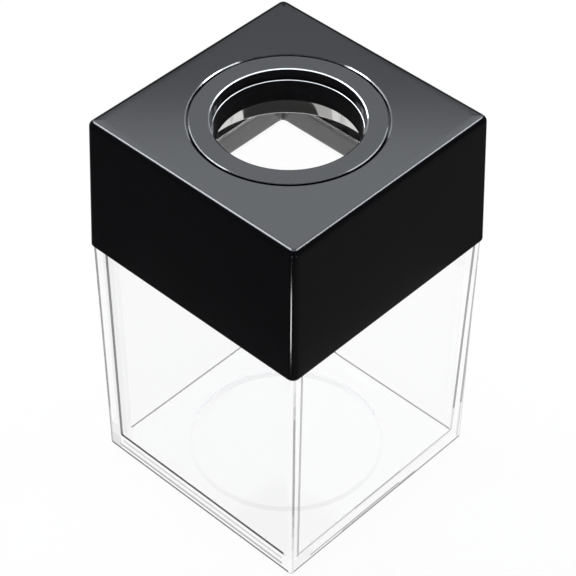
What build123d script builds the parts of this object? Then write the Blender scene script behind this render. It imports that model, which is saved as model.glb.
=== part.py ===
from build123d import *
import math
import os

# Magnetic paper clip holder: a clear box for the clips under a black lid that lifts off.
# A ring magnet below the lid's mouth draws the clips up to the rim when the holder is tipped.
# Millimetres, +Z up, origin at the middle of the box's underside.

# Clear box
box_base_width = 42.0
box_draft = 0.44
box_shoulder_height = 45.4
box_wall = 1.6
box_floor = 1.8
box_corner = 0.6
box_base_edge = 0.3
shoulder_edge = 0.12
bore_draft = 0.2
bore_corner = 0.5
bore_floor_edge = 0.4
neck_height = 5.6
neck_edge = 0.2
underside_recess_radius = 15.5
underside_recess_depth = 0.5

# Lid cap
lid_top_width = 42.0
lid_height = 24.6
lid_overhang = 0.42
lid_wall = 1.1
lid_plate = 2.0
lid_corner = 1.2
lid_cavity_corner = 0.8
lid_top_edge = 0.6
lid_rim_edge = 0.15
lead_in_width = 0.5
lead_in_height = 1.0
lid_clearance = 0.12
seat_ledge = 1.2
seat_wall = 1.2

# Mouth collar
flange_radius = 14.9
flange_thickness = 1.85
mouth_radius = 11.7
mouth_edge = 0.3
throat_radius = 11.3
throat_draft = 0.2
throat_edge = 0.15
tube_depth = 5.75
tube_wall = 1.1
tube_foot_edge = 0.3
seam_width = 0.25
seam_edge = 0.12
tube_clearance = 0.1

# Ring magnet and the snap arms that hold it
magnet_bore_radius = 14.5
magnet_thickness = 3.5
magnet_height = 8.0
magnet_edge = 0.4
arm_count = 4
arm_span = 36.0
arm_thickness = 1.2
arm_clearance = 0.1
hook_reach = 0.7
hook_land = 0.4
hook_slope = 0.9

# Levels and widths that follow from the sizes above
rim_z = box_shoulder_height
top_z = rim_z + lid_height
plate_z = top_z - lid_plate
seat_z = top_z - flange_thickness
ledge_z = seat_z - seat_ledge
magnet_foot_z = ledge_z - magnet_height
box_shoulder_width = box_base_width + 2 * box_draft
lid_rim_width = box_shoulder_width + 2 * lid_overhang
lid_lean = (lid_rim_width - lid_top_width) / lid_height
cavity_rim_width = lid_rim_width - 2 * lid_wall
neck_base_width = cavity_rim_width - 2 * lid_clearance
neck_corner = lid_cavity_corner - lid_clearance
seat_radius = flange_radius + seam_width
tube_radius = throat_radius + tube_wall
magnet_radius = magnet_bore_radius + magnet_thickness
arm_radius = magnet_radius + arm_clearance


def end_edges(block, end):
    """Edges round the lowest (0) or highest (-1) face of a block."""
    return block.faces().sort_by(Axis.Z)[end].edges()


def tapered_square(low_width, high_width, low_z, high_z, corner):
    """Square block with rounded upright corners, drafted from one width to the other."""
    height = high_z - low_z
    draft = math.degrees(math.atan2((low_width - high_width) / 2, height))
    block = extrude(Pos(0, 0, low_z) * Rectangle(low_width, low_width), amount=height, taper=draft)
    upright = block.edges() - end_edges(block, 0) - end_edges(block, -1)
    return fillet(upright, corner)


def turned(outline):
    """Round piece turned about the upright axis from an outline in the XZ plane."""
    return revolve(Plane.XZ * outline, Axis.Z)


def corner_at(face, x, y):
    """The outline's corner nearest to a point."""
    return face.vertices().sort_by_distance((x, y, 0))[0]


def cavity_width(height):
    """Inside width of the lid's skirt at a height above its rim."""
    return cavity_rim_width - lid_lean * height


def clear_box():
    # The body stands on its outer margin, round a shallow dished recess.
    body = tapered_square(box_base_width, box_shoulder_width, 0, box_shoulder_height, box_corner)
    body = fillet(end_edges(body, 0), box_base_edge)
    body = chamfer(end_edges(body, -1), shoulder_edge)
    recess = Cone(
        underside_recess_radius + underside_recess_depth,
        underside_recess_radius,
        underside_recess_depth,
        align=(Align.CENTER, Align.CENTER, Align.MIN),
    )

    # The neck leans in with the lid's skirt, so that the gap between them stays even.
    neck_top_z = box_shoulder_height + neck_height
    neck_top_width = neck_base_width - lid_lean * neck_height
    neck = tapered_square(neck_base_width, neck_top_width, box_shoulder_height, neck_top_z, neck_corner)
    neck = chamfer(end_edges(neck, -1), neck_edge)

    # The bore opens upward by its own draft, for release from the mould.
    bore_width = box_base_width - 2 * box_wall
    bore = tapered_square(bore_width, bore_width + 2 * bore_draft, box_floor, neck_top_z, bore_corner)
    bore = fillet(end_edges(bore, 0), bore_floor_edge)
    return body + neck - bore - recess


def snap_arm():
    # A curved tongue below the plate, with a sloped hook that closes under the magnet.
    hook_z = magnet_foot_z - arm_clearance
    foot_z = hook_z - hook_land - hook_slope
    outline = Polygon(
        (arm_radius, plate_z),
        (arm_radius + arm_thickness, plate_z),
        (arm_radius + arm_thickness, foot_z),
        (arm_radius, foot_z),
        (arm_radius - hook_reach, hook_z - hook_land),
        (arm_radius - hook_reach, hook_z),
        (arm_radius, hook_z),
        align=None,
    )
    return revolve(Plane.XZ * outline, Axis.Z, revolution_arc=arm_span)


def lid_cap():
    # Outer shell, wider at the rim than at the top, over a cavity with the same lean.
    shell = tapered_square(lid_rim_width, lid_top_width, rim_z, top_z, lid_corner)
    shell = fillet(end_edges(shell, -1), lid_top_edge)
    shell = fillet(end_edges(shell, 0), lid_rim_edge)
    cavity = tapered_square(
        cavity_rim_width, cavity_width(lid_height - lid_plate), rim_z, plate_z, lid_cavity_corner
    )
    lead_in = tapered_square(
        cavity_rim_width + 2 * lead_in_width,
        cavity_width(lead_in_height),
        rim_z,
        rim_z + lead_in_height,
        lid_cavity_corner,
    )
    cap = shell - cavity - lead_in

    # A cup hangs from the plate: its ledge carries the collar's flange, and the magnet lies under it.
    hole_radius = tube_radius + tube_clearance
    cup = Polygon(
        (hole_radius, ledge_z),
        (seat_radius + seat_wall, ledge_z),
        (seat_radius + seat_wall, plate_z),
        (seat_radius, plate_z),
        (seat_radius, seat_z),
        (hole_radius, seat_z),
        align=None,
    )
    seat = Polygon(
        (0, seat_z),
        (seat_radius, seat_z),
        (seat_radius, top_z - seam_edge),
        (seat_radius + seam_edge, top_z),
        (0, top_z),
        align=None,
    )
    hole = Polygon((0, plate_z), (hole_radius, plate_z), (hole_radius, seat_z), (0, seat_z), align=None)
    cap = cap - turned(seat) - turned(hole) + turned(cup)

    # Snap arms stand in the four corners, where the skirt leaves room.
    turn = 360 / arm_count
    for index in range(arm_count):
        cap += Rot(0, 0, turn * (index + 0.5) - arm_span / 2) * snap_arm()
    return cap


def mouth_collar():
    foot_z = top_z - tube_depth
    throat_foot_radius = throat_radius - throat_draft
    outline = Polygon(
        (mouth_radius, top_z),
        (flange_radius, top_z),
        (flange_radius, seat_z),
        (tube_radius, seat_z),
        (tube_radius, foot_z),
        (throat_foot_radius, foot_z),
        (throat_radius, seat_z),
        (mouth_radius, seat_z),
        align=None,
    )
    outline = chamfer(corner_at(outline, mouth_radius, top_z), mouth_edge)
    outline = chamfer(corner_at(outline, flange_radius, top_z), seam_edge)
    outline = chamfer(corner_at(outline, throat_radius, seat_z), throat_edge)
    outline = chamfer(corner_at(outline, throat_foot_radius, foot_z), tube_foot_edge)
    outline = chamfer(corner_at(outline, tube_radius, foot_z), tube_foot_edge)
    return turned(outline)


def ring_magnet():
    middle = (magnet_bore_radius + magnet_radius) / 2
    section = Rectangle(magnet_thickness, magnet_height)
    section = chamfer(section.vertices(), magnet_edge)
    return turned(Pos(middle, magnet_foot_z + magnet_height / 2) * section)


os.makedirs("parts", exist_ok=True)
for piece in (clear_box, lid_cap, mouth_collar, ring_magnet):
    export_step(piece(), f"parts/{piece.__name__}.step")
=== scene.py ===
import math

import bmesh
import bpy
from mathutils import Matrix, Vector


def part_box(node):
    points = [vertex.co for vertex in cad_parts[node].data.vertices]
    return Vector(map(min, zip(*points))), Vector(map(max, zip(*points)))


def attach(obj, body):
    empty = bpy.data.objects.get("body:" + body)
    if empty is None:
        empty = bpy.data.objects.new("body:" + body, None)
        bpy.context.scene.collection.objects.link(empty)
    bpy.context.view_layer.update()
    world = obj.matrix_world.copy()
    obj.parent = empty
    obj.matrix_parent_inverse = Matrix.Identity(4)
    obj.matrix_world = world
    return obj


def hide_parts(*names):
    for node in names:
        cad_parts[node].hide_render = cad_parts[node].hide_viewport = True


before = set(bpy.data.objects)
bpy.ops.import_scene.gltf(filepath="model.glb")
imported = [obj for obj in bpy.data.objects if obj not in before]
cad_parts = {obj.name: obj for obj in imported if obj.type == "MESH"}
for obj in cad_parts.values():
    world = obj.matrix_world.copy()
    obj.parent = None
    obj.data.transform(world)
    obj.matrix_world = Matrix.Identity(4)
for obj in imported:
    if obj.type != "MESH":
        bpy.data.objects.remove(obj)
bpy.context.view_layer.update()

# Clear box: the square store that the clips lie in, with a thin neck above the shoulder that carries the lid.
# It is moulded in one shot from clear polystyrene, open at the top, with a shallow dished recess underneath.
mm = 0.001
_, box_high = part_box("clear_box")
lid_low, lid_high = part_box("lid_cap")
foot_half = 21.0 * mm
shoulder_half = 21.44 * mm
shoulder_z = lid_low.z
neck_foot_half = 20.64 * mm
neck_top_half = 20.444 * mm
neck_z = box_high.z
bore_half = 19.6 * mm
bore_floor_z = 1.8 * mm
box_corner = 0.6 * mm
foot_edge = 0.3 * mm
foot_margin = 2.0 * mm
shoulder_edge = 0.12 * mm
neck_edge = 0.2 * mm
bore_floor_edge = 0.4 * mm
recess_mouth_radius = 16.0 * mm
recess_radius = 15.5 * mm
recess_depth = 0.5 * mm
recess_edge = 0.12 * mm
recess_margin = 1.0 * mm
recess_steps = 3
turned_steps = 160
round_steps = 5
sharp_angle = math.radians(20)
same_place = 1e-6
merge_distance = 1e-7


def linear(code):
    """Linear colour of an sRGB hex value."""
    parts = [int(code[i:i + 2], 16) / 255 for i in (1, 3, 5)]
    return tuple(p / 12.92 if p <= 0.04045 else ((p + 0.055) / 1.055) ** 2.4 for p in parts) + (1.0,)


def set_inputs(tree, node, inputs):
    """Sets a node's inputs, or links them where the value is another node's socket."""
    for name, value in inputs.items():
        if isinstance(value, bpy.types.NodeSocket):
            tree.links.new(value, node.inputs[name])
        else:
            node.inputs[name].default_value = value


def add(tree, kind, inputs=None, **settings):
    """Adds a shader node with its settings and inputs."""
    made = tree.nodes.new("ShaderNode" + kind)
    for name, value in settings.items():
        setattr(made, name, value)
    set_inputs(tree, made, inputs or {})
    return made


def start_material(name):
    """New material, with its node tree and its shader."""
    made = bpy.data.materials.new(name)
    made.use_nodes = True
    return made, made.node_tree, made.node_tree.nodes["Principled BSDF"]


def rounded_square(bm, half, corner, z):
    """Flat square face with rounded corners."""
    level = Matrix.Translation((0, 0, z))
    made = bmesh.ops.create_grid(bm, x_segments=1, y_segments=1, size=half, matrix=level)
    bmesh.ops.bevel(
        bm, geom=made["verts"], offset=corner, segments=round_steps, profile=0.5, affect="VERTICES",
        material=-1,
    )
    return bm.faces[:][0]


def draw_on(bm, face, half, z):
    """Draws an end face on to another width and height, and gives the new end face with the old rim."""
    rim = face.edges[:]
    face = bmesh.ops.extrude_discrete_faces(bm, faces=[face])["faces"][0]
    ratio = half / max(v.co.x for v in face.verts)
    bmesh.ops.scale(bm, vec=(ratio, ratio, 1), verts=face.verts)
    bmesh.ops.translate(bm, vec=(0, 0, z - face.verts[0].co.z), verts=face.verts)
    return face, rim


def margin(bm, rim, width):
    """Flat margin inside an open square rim, and its inner rim."""
    made = bmesh.ops.extrude_edge_only(bm, edges=rim)["geom"]
    verts = [g for g in made if isinstance(g, bmesh.types.BMVert)]
    ratio = 1 - width / max(v.co.x for v in verts)
    bmesh.ops.scale(bm, vec=(ratio, ratio, 1), verts=verts)
    return [g for g in made if isinstance(g, bmesh.types.BMEdge)]


def round_edges(bm, edges, offset, segments=round_steps):
    """Rounds edges to a radius."""
    bmesh.ops.bevel(
        bm, geom=edges, offset=offset, segments=segments, profile=0.5, affect="EDGES", material=-1
    )


def turn(bm, points, closed=False):
    """Turns an outline of radius and height points about the upright axis."""
    verts = [bm.verts.new((r, 0, z)) for r, z in points]
    pairs = list(zip(verts, verts[1:]))
    if closed:
        pairs.append((verts[-1], verts[0]))
    edges = [bm.edges.new(pair) for pair in pairs]
    bmesh.ops.spin(
        bm, geom=verts + edges, cent=(0, 0, 0), axis=(0, 0, 1), angle=2 * math.pi, steps=turned_steps,
        use_merge=True,
    )


def ring(bm, radius, z):
    """Edges of the circle at a radius and height."""
    def on_it(vert):
        return abs(vert.co.xy.length - radius) < same_place and abs(vert.co.z - z) < same_place
    return [e for e in bm.edges if on_it(e.verts[0]) and on_it(e.verts[1])]


def make_piece(name, bm, *finishes):
    """Turns a bmesh into a smooth-shaded piece whose flats stay flat."""
    bmesh.ops.remove_doubles(bm, verts=bm.verts[:], dist=merge_distance)
    bmesh.ops.recalc_face_normals(bm, faces=bm.faces[:])
    mesh = bpy.data.meshes.new(name)
    bm.to_mesh(mesh)
    bm.free()
    mesh.shade_smooth()
    mesh.set_sharp_from_angle(angle=sharp_angle)
    for finish in finishes:
        mesh.materials.append(finish)
    piece = bpy.data.objects.new(name, mesh)
    bpy.context.scene.collection.objects.link(piece)
    even = piece.modifiers.new("flat_faces", "WEIGHTED_NORMAL")
    even.keep_sharp = True
    return piece


bm = bmesh.new()
face = rounded_square(bm, foot_half, box_corner, 0)
face, foot_rim = draw_on(bm, face, shoulder_half, shoulder_z)
face, shoulder_rim = draw_on(bm, face, neck_foot_half, shoulder_z)
face, _ = draw_on(bm, face, neck_top_half, neck_z)
face, neck_rim = draw_on(bm, face, bore_half, neck_z)
face, bore_rim = draw_on(bm, face, bore_half, bore_floor_z)
floor_rim = face.edges[:]
foot_inner = margin(bm, foot_rim, foot_margin)
round_edges(bm, foot_rim, foot_edge)
round_edges(bm, shoulder_rim, shoulder_edge)
round_edges(bm, neck_rim, neck_edge)
round_edges(bm, bore_rim, neck_edge)
round_edges(bm, floor_rim, bore_floor_edge)
turn(bm, [
    (recess_mouth_radius + recess_depth, 0),
    (recess_mouth_radius, 0),
    (recess_radius, recess_depth),
    (recess_radius - recess_margin, recess_depth),
])
recess_rims = ring(bm, recess_mouth_radius, 0) + ring(bm, recess_radius, recess_depth)
round_edges(bm, recess_rims, recess_edge, recess_steps)
recess_surround = foot_inner + ring(bm, recess_mouth_radius + recess_depth, 0)
bmesh.ops.triangle_fill(bm, edges=recess_surround, use_beauty=True)
bmesh.ops.triangle_fill(bm, edges=ring(bm, recess_radius - recess_margin, recess_depth), use_beauty=True)

# Where the clear wall turns it bends the light away from the eye, and this is painted into the colour as thin
# lines of painted shade on the two front walls. A mark has its wall, the end of the wall that it is measured
# from, its distance from that end at the foot and at the shoulder, its width, its lower and upper end, and its
# share of painted shade.
left_wall = 0
right_wall = 1
outer_end = 1
front_end = -1
fade_z = 9.0 * mm
painted_shade_marks = [
    (left_wall, outer_end, 0.0, 0.0, 41.5 * mm, 0.0, 0.65 * mm, 0.85),
    (left_wall, outer_end, 2.6 * mm, 2.6 * mm, 37.4 * mm, 1.2 * mm, 1.7 * mm, 0.52),
    (left_wall, outer_end, 3.4 * mm, 3.4 * mm, 36.6 * mm, 2.5 * mm, 3.0 * mm, 0.32),
    (left_wall, outer_end, 0.9 * mm, 0.9 * mm, 2.0 * mm, 0.65 * mm, 3.2 * mm, 0.22),
    (left_wall, outer_end, 0.9 * mm, 0.9 * mm, 2.0 * mm, 3.2 * mm, 5.8 * mm, 0.12),
    (left_wall, outer_end, 0.0, 0.0, 0.9 * mm, 0.65 * mm, fade_z, 0.35),
    (left_wall, outer_end, 0.0, 0.0, 0.9 * mm, fade_z, shoulder_z, 0.65),
    (left_wall, outer_end, 2.9 * mm, 2.9 * mm, 0.6 * mm, 3.9 * mm, shoulder_z, 0.75),
    (left_wall, outer_end, 2.3 * mm, 2.3 * mm, 2.3 * mm, 3.9 * mm, shoulder_z, 0.1),
    (left_wall, outer_end, 4.6 * mm, 4.6 * mm, 1.3 * mm, 3.9 * mm, shoulder_z, 0.06),
    (right_wall, outer_end, 0.0, 0.0, 41.5 * mm, 0.0, 0.55 * mm, 0.88),
    (right_wall, outer_end, 12.0 * mm, 12.0 * mm, 4.0 * mm, 0.55 * mm, 1.0 * mm, 0.4),
    (right_wall, outer_end, 16.0 * mm, 16.0 * mm, 14.0 * mm, 0.55 * mm, 1.0 * mm, 0.3),
    (right_wall, outer_end, 16.0 * mm, 16.0 * mm, 21.5 * mm, 1.0 * mm, 1.35 * mm, 0.55),
    (right_wall, outer_end, 16.0 * mm, 16.0 * mm, 11.0 * mm, 3.6 * mm, 4.1 * mm, 0.52),
    (right_wall, outer_end, 3.2 * mm, 3.2 * mm, 37.5 * mm, 3.6 * mm, 4.1 * mm, 0.38),
    (right_wall, outer_end, 0.9 * mm, 0.9 * mm, 40.0 * mm, 1.35 * mm, 3.6 * mm, 0.02),
    (right_wall, outer_end, 0.9 * mm, 0.05 * mm, 0.6 * mm, 0.8 * mm, fade_z, 0.25),
    (right_wall, outer_end, 0.9 * mm, 0.05 * mm, 0.6 * mm, fade_z, shoulder_z, 0.55),
    (right_wall, outer_end, 2.9 * mm, 1.5 * mm, 0.6 * mm, 3.6 * mm, fade_z, 0.25),
    (right_wall, outer_end, 2.9 * mm, 1.5 * mm, 0.6 * mm, fade_z, shoulder_z, 0.62),
    (right_wall, front_end, 0.7 * mm, 0.7 * mm, 4.5 * mm, 0.8 * mm, 3.2 * mm, 0.07),
    (right_wall, front_end, 1.28 * mm, 1.72 * mm, 0.45 * mm, 3.4 * mm, shoulder_z, 0.45),
]

# The painted shade line on the front corner fades towards the foot and the lid. Its stretches have their upper
# ends and their shares of painted shade, from the foot up.
front_line = (
    (6.0 * mm, 0.13),
    (9.0 * mm, 0.23),
    (11.5 * mm, 0.37),
    (14.5 * mm, 0.47),
    (36.5 * mm, 0.56),
    (39.5 * mm, 0.4),
    (42.5 * mm, 0.27),
    (shoulder_z, 0.17),
)
front_line_inset = 0.3 * mm
front_line_width = 0.35 * mm
stretch_foot = 0.8 * mm
for stretch_top, grey in front_line:
    painted_shade_marks.append((
        right_wall, front_end, front_line_inset, front_line_inset, front_line_width, stretch_foot, stretch_top,
        grey,
    ))
    stretch_foot = stretch_top

# Shares of painted shade away from those marks, and where the painted lines along the floor's rounding end.
wall_painted_shade = (0.02, 0.0)
foot_corner_painted_shade = 0.85
left_corner_painted_shade = 0.65
right_corner_painted_shade = 0.3
near_floor_painted_shade = 0.95
near_floor_end = -18.4 * mm
far_floor_painted_shade = 0.62
far_floor_end = -17.0 * mm
far_floor_height = 0.165 * mm
floor_line_margin = 0.5 * mm
floor_line_z = bore_floor_z + bore_floor_edge + floor_line_margin
recess_painted_shade = 0.1
recess_line_radius = recess_radius - 0.9 * recess_margin

# A face counts as level, as a flat wall, as a floor or as part of a corner by how squarely it faces that way.
level_facing = 0.95
wall_facing = 0.99
floor_facing = 0.995
corner_facing = 0.8
steep_facing = 0.5


def wall_of(face):
    """The front wall that a face of the box lies on, or None for any other face."""
    for wall in (left_wall, right_wall):
        if face.normal[wall] < -wall_facing and face.calc_center_median()[wall] < -neck_foot_half:
            return wall
    return None


def faces_of(bm, wall):
    """Faces on one front wall of the box."""
    return [f for f in bm.faces if wall_of(f) == wall]


def corner_faces(bm):
    """Faces that turn from the right front wall into its corners."""
    turned = [f for f in bm.faces if f.normal.y < -corner_facing and wall_of(f) is None]
    return [f for f in turned if min(f.calc_center_median().xy) < -neck_foot_half]


def bore_walls(bm):
    """Upright faces inside the box."""
    upright = [f for f in bm.faces if abs(f.normal.z) < steep_facing]
    inner = [f for f in upright if max(f.calc_center_median().xy) < neck_top_half]
    return [f for f in inner if min(f.calc_center_median().xy) > -neck_top_half]


def floor_roundings(bm):
    """Faces that turn from the inside of the walls into the floor."""
    low = [f for f in bm.faces if bore_floor_z < f.calc_center_median().z < floor_line_z]
    return [f for f in low if wall_of(f) is None and abs(f.normal.z) < floor_facing]


def cut(bm, faces, point, normal):
    """Cuts faces along a plane."""
    edges = {e for f in faces for e in f.edges}
    verts = {v for f in faces for v in f.verts}
    geom = faces + list(edges) + list(verts)
    bmesh.ops.bisect_plane(bm, geom=geom, dist=merge_distance, plane_co=point, plane_no=normal)


def painted_shade_of_recess(face, middle):
    """Share of painted shade in the recess, its painted ring strongest at the front corner and far side."""
    ahead = -(middle.x + middle.y) / middle.xy.length
    if ahead > 0:
        on_line = abs(face.normal.z) < level_facing
    else:
        on_line = middle.xy.length > recess_line_radius
    return recess_painted_shade * ahead ** 2 / 2 if on_line else 0.0


def painted_shade_of_wall(wall, middle):
    """Share of painted shade on a front wall: that of the darkest mark over the place."""
    rise = middle.z / shoulder_z
    half = foot_half + (shoulder_half - foot_half) * rise
    found = [wall_painted_shade[wall]]
    for side, end, at_foot, at_shoulder, width, low, high, grey in painted_shade_marks:
        inset = half - end * middle[1 - wall] - at_foot - (at_shoulder - at_foot) * rise
        if side == wall and 0 < inset < width and low < middle.z < high:
            found.append(grey)
    return max(found)


def painted_shade_of_corner(face, middle):
    """Share of painted shade on the box's upright corners and round its foot."""
    if middle.z < foot_edge:
        return foot_corner_painted_shade if min(middle.xy) < -neck_foot_half else 0.0
    if middle.x < 0 < middle.y:
        return left_corner_painted_shade
    if middle.y < 0 < middle.x:
        return right_corner_painted_shade
    if face.normal.y < -corner_facing and middle.x < 0:
        return next(grey for top, grey in front_line if middle.z < top)
    return 0.0


def painted_shade_of_floor_line(middle):
    """Share of painted shade where the inside of the walls turns into the floor."""
    if min(middle.xy) > bore_floor_edge - bore_half:
        on_line = middle.z < bore_floor_z + far_floor_height and middle.x > far_floor_end
        return far_floor_painted_shade if on_line else 0.0
    return near_floor_painted_shade if middle.x < middle.y and middle.y > near_floor_end else 0.0


def painted_shade_of(face):
    """Share of painted shade on a face of the box."""
    middle = face.calc_center_median()
    wall = wall_of(face)
    if middle.xy.length < recess_mouth_radius + recess_edge and middle.z < recess_depth + recess_edge:
        return painted_shade_of_recess(face, middle)
    if middle.z > shoulder_z or abs(face.normal.z) > level_facing:
        return 0.0
    if wall is not None:
        return painted_shade_of_wall(wall, middle)
    if max(abs(middle.x), abs(middle.y)) > neck_foot_half:
        return painted_shade_of_corner(face, middle)
    return painted_shade_of_floor_line(middle) if middle.z < floor_line_z else 0.0


bmesh.ops.recalc_face_normals(bm, faces=bm.faces[:])
for wall, end, at_foot, at_shoulder, width, low, high, _ in painted_shade_marks:
    for z in (low, high):
        cut(bm, faces_of(bm, wall), (0, 0, z), (0, 0, 1))
    for inset in (0, width):
        foot = end * (foot_half - at_foot - inset)
        top = end * (shoulder_half - at_shoulder - inset)
        point = Vector((foot, 0, 0))
        normal = Vector((shoulder_z, 0, foot - top))
        if wall == left_wall:
            point, normal = point.yxz, normal.yxz
        cut(bm, faces_of(bm, wall), point, normal)
for stretch_top, _ in front_line:
    cut(bm, corner_faces(bm), (0, 0, stretch_top), (0, 0, 1))
cut(bm, bore_walls(bm), (0, 0, floor_line_z), (0, 0, 1))
cut(bm, floor_roundings(bm), (0, near_floor_end, 0), (0, 1, 0))
cut(bm, floor_roundings(bm), (far_floor_end, 0, 0), (1, 0, 0))
# Each face keeps its share of painted shade, which the clear material paints into its colour.
painted_shade_share = bm.faces.layers.float.new("painted_shade_share")
for face in bm.faces:
    face[painted_shade_share] = 1 - (1 - painted_shade_of(face)) ** 2

# Polystyrene, moulded against polished steel: water clear, with a faint waviness where the melt flowed. Its
# index is set below the real 1.59, at which the far walls and the lid's inside would show through the near
# walls. The neck has most of the plastic's shine.
flow_wave = 14.0 * mm
haze_patch = 5.0 * mm
clear_polystyrene, tree, shader = start_material("clear_polystyrene")
place = add(tree, "TexCoord")
share = add(tree, "Attribute", attribute_name="painted_shade_share")
# The colour darkens towards near black by each face's share of painted shade, to paint the shade lines.
colour = add(tree, "MixRGB", {
    "Fac": share.outputs["Fac"], "Color1": linear("#fdfdfd"), "Color2": linear("#08080a"),
})
height = add(tree, "SeparateXYZ", {"Vector": place.outputs["Object"]})
neck_shine = add(tree, "MapRange", {
    "Value": height.outputs["Z"], "From Min": shoulder_z, "From Max": shoulder_z + neck_edge,
    "To Min": 0.1, "To Max": 0.75,
})
haze = add(tree, "TexNoise", {"Vector": place.outputs["Object"], "Scale": 1 / haze_patch, "Detail": 2.0})
gloss = add(tree, "MapRange", {"Value": haze.outputs["Fac"], "To Min": 0.0, "To Max": 0.03})
flow = add(tree, "TexNoise", {"Vector": place.outputs["Object"], "Scale": 1 / flow_wave, "Detail": 1.0})
wave = add(tree, "Bump", {"Height": flow.outputs["Fac"], "Strength": 0.2, "Distance": 0.02 * mm})
set_inputs(tree, shader, {
    "Base Color": colour.outputs["Color"],
    "Roughness": gloss.outputs["Result"],
    "Normal": wave.outputs["Normal"],
    "IOR": 1.10,
    "Transmission Weight": 1.0,
    "Coat Weight": neck_shine.outputs["Result"],
    "Coat IOR": 1.55,
})

clear_box = make_piece("clear_box_shell", bm, clear_polystyrene)
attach(clear_box, "box")
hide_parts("clear_box")

# Lid cap: the deep black skirt that slips over the neck and rests on the shoulder, closed by a top plate.
# It is moulded in ABS. A cup under the plate seats the collar, and four snap arms hold the magnet.
lid_top_half = 21.18 * mm
lid_rim_half = 21.858 * mm
lid_top_z = lid_high.z
lid_plate = 2.0 * mm
plate_z = lid_top_z - lid_plate
lead_in_half = 21.26 * mm
cavity_foot_half = 20.725 * mm
cavity_foot_z = shoulder_z + 1.0 * mm
cavity_top_half = 19.97 * mm
lid_corner = 1.16 * mm
lid_top_edge = 1.0 * mm
lid_top_steps = 8
lid_rim_edge = 0.15 * mm
top_margin = 2.0 * mm
seat_radius = 15.2 * mm
seat_z = lid_top_z - 1.85 * mm
seat_lip = 0.5 * mm
seat_edge = 0.19 * mm
seat_slope = math.tan(math.radians(29))
cup_radius = 16.35 * mm
cup_hole_radius = 12.5 * mm
cup_foot_z = seat_z - 1.2 * mm
cup_edge = 0.2 * mm
arm_count = 4
arm_span = math.radians(36)
arm_steps = 12
arm_inner = 18.1 * mm
arm_outer = 19.3 * mm
arm_edge = 0.15 * mm
arm_sharp_angle = math.radians(30)
root_margin = 1.0 * mm
hook_tip = 17.4 * mm
hook_z = 58.85 * mm
hook_land = 0.4 * mm
hook_slope = 0.9 * mm

bm = bmesh.new()
face = rounded_square(bm, lid_top_half, lid_corner, lid_top_z)
face, top_rim = draw_on(bm, face, lid_rim_half, shoulder_z)
face, outer_rim = draw_on(bm, face, lead_in_half, shoulder_z)
face, inner_rim = draw_on(bm, face, cavity_foot_half, cavity_foot_z)
face, _ = draw_on(bm, face, cavity_top_half, plate_z)
plate_rim = face.edges[:]
bmesh.ops.delete(bm, geom=[face], context="FACES_ONLY")
top_inner = margin(bm, top_rim, top_margin)
round_edges(bm, top_rim, lid_top_edge, lid_top_steps)
round_edges(bm, outer_rim, lid_rim_edge)
round_edges(bm, inner_rim, lid_rim_edge)
turn(bm, [
    (seat_radius + seat_lip, lid_top_z),
    (seat_radius + seat_edge, lid_top_z),
    (seat_radius, lid_top_z - seat_edge * seat_slope),
    (seat_radius, seat_z),
    (cup_hole_radius, seat_z),
    (cup_hole_radius, cup_foot_z),
    (cup_radius, cup_foot_z),
    (cup_radius, plate_z),
])
round_edges(bm, ring(bm, cup_hole_radius, seat_z) + ring(bm, cup_hole_radius, cup_foot_z), cup_edge)
round_edges(bm, ring(bm, cup_radius, cup_foot_z), cup_edge)
bmesh.ops.triangle_fill(bm, edges=top_inner + ring(bm, seat_radius + seat_lip, lid_top_z), use_beauty=True)

# The arms stand on the diagonals, where the square skirt leaves room beside the round magnet.
arm_outline = [
    (arm_inner, plate_z),
    (arm_outer, plate_z),
    (arm_outer, hook_z - hook_land - hook_slope),
    (arm_inner, hook_z - hook_land - hook_slope),
    (hook_tip, hook_z - hook_land),
    (hook_tip, hook_z),
    (arm_inner, hook_z),
]


def at_plate(part):
    """Tells whether a face or an edge lies level with the underside of the plate."""
    return all(abs(v.co.z - plate_z) < same_place for v in part.verts)


for index in range(arm_count):
    arm = bmesh.new()
    outline = arm.faces.new([arm.verts.new((r, 0, z)) for r, z in arm_outline])
    start = 2 * math.pi / arm_count * (index + 0.5) - arm_span / 2
    bmesh.ops.rotate(arm, cent=(0, 0, 0), matrix=Matrix.Rotation(start, 3, "Z"), verts=arm.verts[:])
    bmesh.ops.spin(
        arm, geom=arm.verts[:] + arm.edges[:] + [outline], cent=(0, 0, 0), axis=(0, 0, 1), angle=arm_span,
        steps=arm_steps,
    )
    bmesh.ops.holes_fill(arm, edges=[e for e in arm.edges if e.is_boundary], sides=0)
    bmesh.ops.recalc_face_normals(arm, faces=arm.faces[:])
    bmesh.ops.delete(arm, geom=[f for f in arm.faces if at_plate(f)], context="FACES")
    sharp = [e for e in arm.edges if not e.is_boundary and e.calc_face_angle() > arm_sharp_angle]
    round_edges(arm, sharp, arm_edge)
    arm_mesh = bpy.data.meshes.new("arm")
    arm.to_mesh(arm_mesh)
    arm.free()
    bm.from_mesh(arm_mesh)
    bpy.data.meshes.remove(arm_mesh)
arm_roots = []
for edge in bm.edges:
    on_arm = all(arm_inner - root_margin < v.co.xy.length < arm_outer + root_margin for v in edge.verts)
    if edge.is_boundary and at_plate(edge) and on_arm and edge not in plate_rim:
        arm_roots.append(edge)
plate_edges = plate_rim + ring(bm, cup_radius, plate_z) + arm_roots
bmesh.ops.triangle_fill(bm, edges=plate_edges, use_beauty=True)


# A bevel faces up more than a steep side does, and less than a level face.
bevel_least_up = 0.5
bevel_most_up = 0.99


def burnish(bm, near, far):
    """Marks the shallow bevels between two radii as burnished."""
    bmesh.ops.recalc_face_normals(bm, faces=bm.faces[:])
    burnished = bm.faces.layers.float.new("burnished")
    for face in bm.faces:
        between = near < face.calc_center_median().xy.length < far
        face[burnished] = 1.0 if between and bevel_least_up < face.normal.z < bevel_most_up else 0.0


# The seat's bevel is burnished by the collar being pressed in, and shines more than the skin beside it.
burnish(bm, seat_radius, seat_radius + seat_edge)

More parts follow.
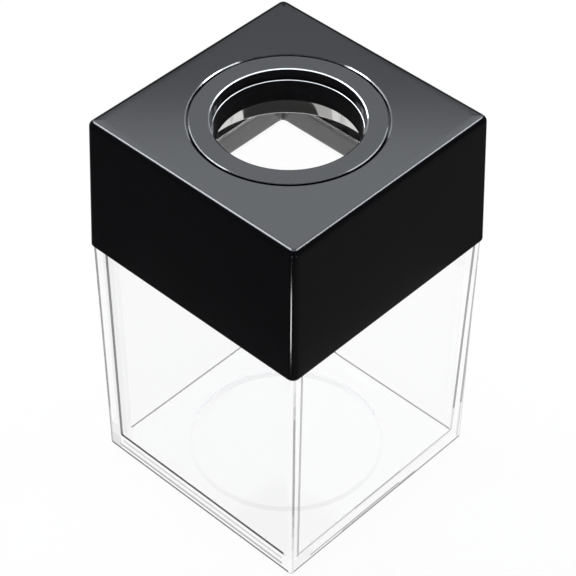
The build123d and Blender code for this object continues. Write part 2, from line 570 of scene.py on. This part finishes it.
# The inside comes off the core unpolished, so its faces have a finish of their own.
inside_half = lead_in_half - 0.3 * mm
inside_top_z = plate_z + 0.1 * mm
for face in bm.faces:
    middle = face.calc_center_median()
    inside = max(abs(middle.x), abs(middle.y)) < inside_half and middle.z < inside_top_z
    face.material_index = 1 if inside else 0

# ABS, moulded in a polished tool: nearly black, with a soft-edged gloss that a fine orange peel breaks up.
peel_size = 0.6 * mm
tone_patch = 9.0 * mm
abs_ior = 1.53
burnish_ior = 2.5
burnish_roughness = 0.1
black_abs, tree, shader = start_material("black_abs")
place = add(tree, "TexCoord")
rubbed = add(tree, "Attribute", attribute_name="burnished")
tone = add(tree, "TexNoise", {"Vector": place.outputs["Object"], "Scale": 1 / tone_patch, "Detail": 2.0})
colour = add(tree, "MixRGB", {
    "Fac": tone.outputs["Fac"], "Color1": linear("#070709"), "Color2": linear("#0c0c0e"),
})
peel = add(tree, "TexNoise", {"Vector": place.outputs["Object"], "Scale": 1 / peel_size, "Detail": 2.0})
gloss = add(tree, "MapRange", {"Value": peel.outputs["Fac"], "To Min": 0.09, "To Max": 0.12})
skin = add(tree, "Bump", {"Height": peel.outputs["Fac"], "Strength": 0.15, "Distance": 0.01 * mm})
set_inputs(tree, shader, {
    "Base Color": colour.outputs["Color"],
    "Roughness": gloss.outputs["Result"],
    "Normal": skin.outputs["Normal"],
    "IOR": abs_ior,
    "Coat Weight": rubbed.outputs["Fac"],
    "Coat Roughness": burnish_roughness,
    "Coat IOR": burnish_ior,
})

# The same ABS inside, off an unpolished core: a dull black whose grain swallows most of the light.
# The grain is drawn coarser than real.
grain_size = 0.4 * mm
dull_abs, tree, shader = start_material("dull_abs")
place = add(tree, "TexCoord")
grain = add(tree, "TexNoise", {"Vector": place.outputs["Object"], "Scale": 1 / grain_size, "Detail": 2.0})
colour = add(tree, "MixRGB", {
    "Fac": grain.outputs["Fac"], "Color1": linear("#0e0e10"), "Color2": linear("#141416"),
})
gloss = add(tree, "MapRange", {"Value": grain.outputs["Fac"], "To Min": 0.5, "To Max": 0.65})
skin = add(tree, "Bump", {"Height": grain.outputs["Fac"], "Strength": 0.3, "Distance": 0.01 * mm})
set_inputs(tree, shader, {
    "Base Color": colour.outputs["Color"],
    "Roughness": gloss.outputs["Result"],
    "Normal": skin.outputs["Normal"],
    "IOR": abs_ior,
    "Specular IOR Level": 0.2,
})

lid_cap = make_piece("lid_cap_moulding", bm, black_abs, dull_abs)
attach(lid_cap, "lid")
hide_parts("lid_cap")

# Mouth collar: the black ring that lies flush in the lid's seat, with a short tube for the clips to pass.
# It is an ABS moulding pressed into the seat. A fine groove shows where its flange meets the lid.
flange_radius = 14.87 * mm
flange_edge = 0.16 * mm
flange_slope = math.tan(math.radians(20.5))
mouth_radius = 11.7 * mm
mouth_edge = 0.19 * mm
bevel_slope = math.tan(math.radians(24))
throat_radius = 11.3 * mm
throat_edge = 0.09 * mm
throat_foot_radius = 11.1 * mm
tube_radius = 12.4 * mm
tube_foot_z = lid_top_z - 5.75 * mm
tube_edge = 0.3 * mm

bm = bmesh.new()
turn(bm, [
    (mouth_radius + mouth_edge, lid_top_z),
    (flange_radius - flange_edge, lid_top_z),
    (flange_radius, lid_top_z - flange_edge * flange_slope),
    (flange_radius, seat_z),
    (tube_radius, seat_z),
    (tube_radius, tube_foot_z),
    (throat_foot_radius, tube_foot_z),
    (throat_radius, seat_z - throat_edge * bevel_slope),
    (throat_radius + throat_edge, seat_z),
    (mouth_radius, seat_z),
    (mouth_radius, lid_top_z - mouth_edge * bevel_slope),
], closed=True)
round_edges(bm, ring(bm, throat_foot_radius, tube_foot_z) + ring(bm, tube_radius, tube_foot_z), tube_edge)

# Clips and fingers burnish the bevels of the mouth and of the throat below it.
burnish(bm, 0, mouth_radius + mouth_edge)

# ABS, moulded against a spark-eroded texture: the same black, with a duller and more even sheen on the flat of
# the flange, and rubbed smooth along its edges and in the tube. The texture is drawn coarser than real.
texture_size = 0.2 * mm
flat_inner = mouth_radius + mouth_edge
flat_outer = flange_radius - flange_edge
flat_middle = (flat_outer + flat_inner) / 2
flat_half = (flat_outer - flat_inner) / 2
textured_abs, tree, shader = start_material("textured_abs")
place = add(tree, "TexCoord")
rubbed = add(tree, "Attribute", attribute_name="burnished")
tone = add(tree, "TexNoise", {"Vector": place.outputs["Object"], "Scale": 1 / tone_patch, "Detail": 2.0})
colour = add(tree, "MixRGB", {
    "Fac": tone.outputs["Fac"], "Color1": linear("#141416"), "Color2": linear("#1c1c1e"),
})
grit = add(tree, "TexNoise", {"Vector": place.outputs["Object"], "Scale": 1 / texture_size, "Detail": 2.0})
flat_gloss = add(tree, "MapRange", {"Value": grit.outputs["Fac"], "To Min": 0.3, "To Max": 0.4})
flat_place = add(tree, "VectorMath", {0: place.outputs["Object"], 1: (1, 1, 0)}, operation="MULTIPLY")
reach = add(tree, "VectorMath", {0: flat_place.outputs[0]}, operation="LENGTH")
offset = add(tree, "Math", {0: reach.outputs["Value"], 1: flat_middle}, operation="SUBTRACT")
off_middle = add(tree, "Math", {0: offset.outputs[0]}, operation="ABSOLUTE")
edge_gloss = add(tree, "MapRange", {
    "Value": off_middle.outputs[0], "From Min": flat_half - texture_size, "From Max": flat_half,
    "To Min": 1.0, "To Max": 0.1,
})
height = add(tree, "SeparateXYZ", {"Vector": place.outputs["Object"]})
tube_gloss = add(tree, "MapRange", {
    "Value": height.outputs["Z"], "From Min": seat_z - 2 * throat_edge, "From Max": seat_z - throat_edge,
    "To Min": 0.17, "To Max": 0.0,
})
polish = add(tree, "Math", {
    0: edge_gloss.outputs["Result"], 1: tube_gloss.outputs["Result"],
}, operation="MAXIMUM")
gloss = add(tree, "Math", {0: flat_gloss.outputs["Result"], 1: polish.outputs[0]}, operation="MINIMUM")
skin = add(tree, "Bump", {"Height": grit.outputs["Fac"], "Strength": 0.15, "Distance": 0.01 * mm})
set_inputs(tree, shader, {
    "Base Color": colour.outputs["Color"],
    "Roughness": gloss.outputs[0],
    "Normal": skin.outputs["Normal"],
    "IOR": abs_ior,
    "Specular IOR Level": 0.64,
    "Coat Weight": rubbed.outputs["Fac"],
    "Coat Roughness": burnish_roughness,
    "Coat IOR": burnish_ior,
})

mouth_collar = make_piece("mouth_collar_ring", bm, textured_abs)
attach(mouth_collar, "lid")
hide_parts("mouth_collar")

# Ring magnet: the bright ring under the collar that draws the clips up to the mouth.
# It is a pressed and sintered ring with rounded edges, nickel plated, held up by the lid's snap arms.
magnet_low, magnet_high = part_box("ring_magnet")
magnet_bore = 14.5 * mm
magnet_radius = magnet_high.x
magnet_edge = 0.4 * mm

bm = bmesh.new()
turn(bm, [
    (magnet_bore, magnet_high.z),
    (magnet_radius, magnet_high.z),
    (magnet_radius, magnet_low.z),
    (magnet_bore, magnet_low.z),
], closed=True)
for radius in (magnet_bore, magnet_radius):
    round_edges(bm, ring(bm, radius, magnet_high.z) + ring(bm, radius, magnet_low.z), magnet_edge)

# Nickel plating over a tumbled ring: a bright mirror with a warm cast and a little unevenness.
plating_patch = 3.0 * mm
nickel_plate, tree, shader = start_material("nickel_plate")
place = add(tree, "TexCoord")
plating = add(tree, "TexNoise", {
    "Vector": place.outputs["Object"], "Scale": 1 / plating_patch, "Detail": 3.0,
})
colour = add(tree, "MixRGB", {
    "Fac": plating.outputs["Fac"], "Color1": linear("#cdccca"), "Color2": linear("#dad9d7"),
})
gloss = add(tree, "MapRange", {"Value": plating.outputs["Fac"], "To Min": 0.08, "To Max": 0.11})
set_inputs(tree, shader, {
    "Base Color": colour.outputs["Color"],
    "Roughness": gloss.outputs["Result"],
    "Metallic": 1.0,
})

ring_magnet = make_piece("ring_magnet_plated", bm, nickel_plate)
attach(ring_magnet, "lid")
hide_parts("ring_magnet")

# Floor: the plain white table that the holder stands on. It shows as white to the eye, through the clear box
# and in mirror images, and still takes the holder's shadow.
floor_half = 2.0
floor_gap = 0.02 * mm
floor_white = 0.95


def shown(tree):
    """Socket that is 1 for rays seen straight, through clear plastic or in a mirror, 0 for fill light."""
    path = add(tree, "LightPath")
    straight = add(tree, "Math", {
        0: path.outputs["Is Camera Ray"], 1: path.outputs["Is Transmission Ray"],
    }, operation="MAXIMUM")
    any_way = add(tree, "Math", {
        0: straight.outputs[0], 1: path.outputs["Is Glossy Ray"],
    }, operation="MAXIMUM")
    return any_way.outputs[0]


def put_on_stage(name, bm, material):
    """Turns a bmesh into an object that is no part of the holder."""
    mesh = bpy.data.meshes.new(name)
    bm.to_mesh(mesh)
    bm.free()
    mesh.materials.append(material)
    made = bpy.data.objects.new(name, mesh)
    bpy.context.scene.collection.objects.link(made)
    return made


bm = bmesh.new()
floor_level = Matrix.Translation((0, 0, -floor_gap))
bmesh.ops.create_grid(bm, x_segments=1, y_segments=1, size=floor_half, matrix=floor_level)
table_white, tree, shader = start_material("table_white")
tree.nodes.remove(shader)
white_share = add(tree, "Math", {0: shown(tree), 1: floor_white}, operation="MULTIPLY")
matt = add(tree, "BsdfDiffuse", {"Color": linear("#f4f4f4")})
white = add(tree, "Emission", {"Color": linear("#ffffff"), "Strength": 1.0})
surface = add(tree, "MixShader", {0: white_share.outputs[0], 1: matt.outputs[0], 2: white.outputs[0]})
set_inputs(tree, tree.nodes["Material Output"], {"Surface": surface.outputs[0]})
put_on_stage("table", bm, table_white)

# Cards: sheets of even brightness that only mirror images show, so that they paint reflections. Five on the
# table paint dark reflections that dull the lid's upright faces and front corner, and a bright one paints the
# highlight line down that corner. Three hang inside the lid and paint dark reflections in the tube and the
# middle of the magnet's bore, the lowest of them lighter, for a paler painted shade beside the dark middle.
arc_steps = 48
low_lift = 0.5 * mm
card_lift = 1.0 * mm
slip_lift = 2.0 * mm
side_near = 52.0 * mm
side_far = 1300.0 * mm
side_ahead = 1300.0 * mm
left_back = 62.0 * mm
right_back = 60.0 * mm
left_grey = "#363636"
right_grey = "#4f4f4f"
side_cards = {
    "card_left": (left_grey, left_back, card_lift),
    "card_right": (right_grey, right_back, card_lift),
    "card_back_right": (left_grey, left_back, low_lift),
    "card_back_left": (right_grey, right_back, low_lift),
}
front_near = 55.0 * mm
front_from = math.radians(-151)
front_to = math.radians(-110)
slip_near = 83.0 * mm
slip_far = 100.0 * mm
slip_from = math.radians(197)
slip_to = math.radians(208)
slip_strength = 13.0
# Inside the lid, the throat and bore cards paint dark reflections; the shade card below paints a paler one.
throat_z = 63.0 * mm
throat_near = 2.0 * mm
throat_far = 13.5 * mm
throat_grey = "#303030"
bore_z = 58.5 * mm
bore_near = 14.4 * mm
bore_far = 9.5 * mm
bore_from = math.radians(24)
bore_to = math.radians(71.5)
bore_narrowing = 0.65
bore_grey = "#393939"
shade_z = 58.4 * mm
shade_from = math.radians(15)
shade_grey = "#c4c4c4"


def show_in_mirrors(name, bm, colour, strength=1.0, first_only=False):
    """Hangs a sheet that only mirror images show, or only the first of them on the way from the eye."""
    sheet, tree, shader = start_material(name)
    tree.nodes.remove(shader)
    surface = add(tree, "Emission", {"Color": colour, "Strength": strength})
    if first_only:
        path = add(tree, "LightPath")
        first = add(tree, "Math", {0: path.outputs["Glossy Depth"], 1: 1.0, 2: 0.5}, operation="COMPARE")
        unseen = add(tree, "BsdfTransparent")
        surface = add(tree, "MixShader", {0: first.outputs[0], 1: unseen.outputs[0], 2: surface.outputs[0]})
    set_inputs(tree, tree.nodes["Material Output"], {"Surface": surface.outputs[0]})
    made = put_on_stage(name, bm, sheet)
    for kind in ("camera", "diffuse", "transmission", "shadow"):
        setattr(made, "visible_" + kind, False)


def lay_arc(name, near, far, start, stop, z, grey, strength=1.0, narrowing=0.0):
    """Lays a card bent round the upright axis from one angle to another, its far side narrowed."""
    bm = bmesh.new()
    bmesh.ops.create_grid(bm, x_segments=arc_steps, y_segments=1, size=1)
    for vert in bm.verts:
        reach = (vert.co.y + 1) / 2
        radius = near + (far - near) * reach
        angle = (start + stop) / 2 + (stop - start) / 2 * vert.co.x * (1 - narrowing * reach)
        vert.co = (radius * math.cos(angle), radius * math.sin(angle), z)
    show_in_mirrors(name, bm, linear(grey), strength, first_only=True)


for index, (name, (grey, side_back, lift)) in enumerate(side_cards.items()):
    ahead = 1 if index % 2 == 0 else -1
    middle = Vector((-(side_near + side_far) / 2, ahead * (side_ahead - side_back) / 2, lift))
    quarter = Matrix.Rotation(index * math.pi / 2, 3, "Z")
    bm = bmesh.new()
    bmesh.ops.create_grid(bm, x_segments=1, y_segments=1, size=0.5)
    bmesh.ops.scale(bm, vec=(side_far - side_near, side_ahead + side_back, 1), verts=bm.verts[:])
    bmesh.ops.translate(bm, vec=middle, verts=bm.verts[:])
    bmesh.ops.rotate(bm, cent=(0, 0, 0), matrix=quarter, verts=bm.verts[:])
    show_in_mirrors(name, bm, linear(grey), first_only=True)
lay_arc("slip_front", slip_near, slip_far, slip_from, slip_to, slip_lift, "#ffffff", slip_strength)
lay_arc("card_front", front_near, side_far, front_from, front_to, low_lift, left_grey)
lay_arc("card_throat", throat_near, throat_far, -math.pi, math.pi, throat_z, throat_grey)
lay_arc("card_bore", bore_near, bore_far, bore_from, bore_to, bore_z, bore_grey, narrowing=bore_narrowing)
lay_arc("card_shade", bore_near, bore_far, shade_from, bore_to, shade_z, shade_grey, narrowing=bore_narrowing)

# Room: even walls of a cool white, which the eye sees as white and which give a weaker, soft fill.
room_fill = 0.55
world = bpy.data.worlds.new("room")
bpy.context.scene.world = world
world.use_nodes = True
tree = world.node_tree
level = add(tree, "MapRange", {"Value": shown(tree), "To Min": room_fill, "To Max": 1.0})
set_inputs(tree, tree.nodes["Background"], {"Color": linear("#f1f7ff"), "Strength": level.outputs["Result"]})

# Soft boxes: a wide one behind the holder for the sheen on its top, and one at each side for the bright lines
# along the front edges. Each has its place, its width and height, and its power.
soft_boxes = {
    "soft_box_back": ((0.541, 0.498, 1.021), (1.0, 0.55), 2.8),
    "soft_box_left": ((-0.117, 0.661, 1.065), (0.4, 0.25), 7.0),
    "soft_box_right": ((0.703, -0.228, 1.016), (0.2, 0.22), 3.5),
}
cool_white = linear("#f3f8ff")
aim = Vector((0, 0, lid_top_z))
for name, (spot, size, power) in soft_boxes.items():
    lamp = bpy.data.lights.new(name, "AREA")
    lamp.shape = "RECTANGLE"
    lamp.size, lamp.size_y = size
    lamp.energy = power
    lamp.color = cool_white[:3]
    soft_box = bpy.data.objects.new(name, lamp)
    soft_box.location = spot
    soft_box.rotation_mode = "QUATERNION"
    soft_box.rotation_quaternion = (aim - soft_box.location).to_track_quat("-Z", "Y")
    bpy.context.scene.collection.objects.link(soft_box)

# Camera: a long lens that looks down on the front corner, at the photograph's angle. Light may bounce often
# inside the clear box before it reaches the lens.
azimuth = math.radians(-46.878)
elevation = math.radians(43.68)
roll = math.radians(0.443)
eye = Vector((-189.29, -177.47, 282.99)) * mm
inner_bounces = 32
back = Vector((
    math.sin(azimuth) * math.cos(elevation), -math.cos(azimuth) * math.cos(elevation), math.sin(elevation)
))
side = Vector((math.cos(azimuth), math.sin(azimuth), 0))
up = back.cross(side)
across = math.cos(roll) * side + math.sin(roll) * up
upward = math.cos(roll) * up - math.sin(roll) * side
lens = bpy.data.cameras.new("camera")
lens.lens = 141.38
lens.sensor_width = 36.0
lens.clip_start = 0.01
camera = bpy.data.objects.new("camera", lens)
camera.matrix_world = Matrix.Translation(eye) @ Matrix((across, upward, back)).transposed().to_4x4()
bpy.context.scene.collection.objects.link(camera)
bpy.context.scene.camera = camera
bpy.context.scene.view_settings.view_transform = "Standard"
for kind in ("max_bounces", "glossy_bounces", "transmission_bounces"):
    setattr(bpy.context.scene.cycles, kind, inner_bounces)

# Bands hung round the holder, where only its mirror images show them, so that they light nothing and paint
# highlights and dark reflections: strip lights paint the bright lines on the bevels of the mouth and the seat,
# rim lights those on the flange, and dark bands paint dark reflections in the rest of the seat's bevel, in the
# lid's edges below their bright lines and in its far edges.
band_columns = 48
band_rows = 12
strip_distance = 1.2
dark_distance = 1.25
dark_band_grey = linear(left_grey)
front = math.radians(-137)

# A band is laid out by the faces that mirror it. It has their swing from the front and half their spread,
# their lowest and highest lean from level, all in degrees, then its distance, its colour and its strength.
bands = {
    "strip_light": (0, 82, 22.4, 25.6, strip_distance, cool_white, 6.5),
    "strip_light_left": (-54, 20, 27.3, 30.7, strip_distance, cool_white, 5.5),
    "strip_light_right": (45, 16, 27.3, 30.7, strip_distance, cool_white, 5.5),
    "rim_light_left": (-73, 16, 20.6, 22.4, strip_distance, cool_white, 12.0),
    "rim_light_right": (52, 15, 20.4, 22.4, strip_distance, cool_white, 12.0),
    "dark_seat": (0, 95, 27.0, 31.0, dark_distance, dark_band_grey, 1.0),
    "dark_front": (0, 95, 33.0, 75.0, dark_distance, dark_band_grey, 1.0),
    "dark_back": (182, 70, 3.5, 38.0, dark_distance, dark_band_grey, 1.0),
}
view = (aim - eye).normalized()
for name, (swing, half_swing, low_lean, high_lean, distance, colour, strength) in bands.items():
    bm = bmesh.new()
    bmesh.ops.create_grid(bm, x_segments=band_columns, y_segments=band_rows, size=1)
    for vert in bm.verts:
        way = front + math.radians(swing + half_swing * vert.co.x)
        lean = math.radians((low_lean + high_lean) / 2 + (high_lean - low_lean) / 2 * vert.co.y)
        facing = Vector((math.sin(lean) * math.cos(way), math.sin(lean) * math.sin(way), math.cos(lean)))
        vert.co = aim + distance * view.reflect(facing)
    show_in_mirrors(name, bm, colour, strength)
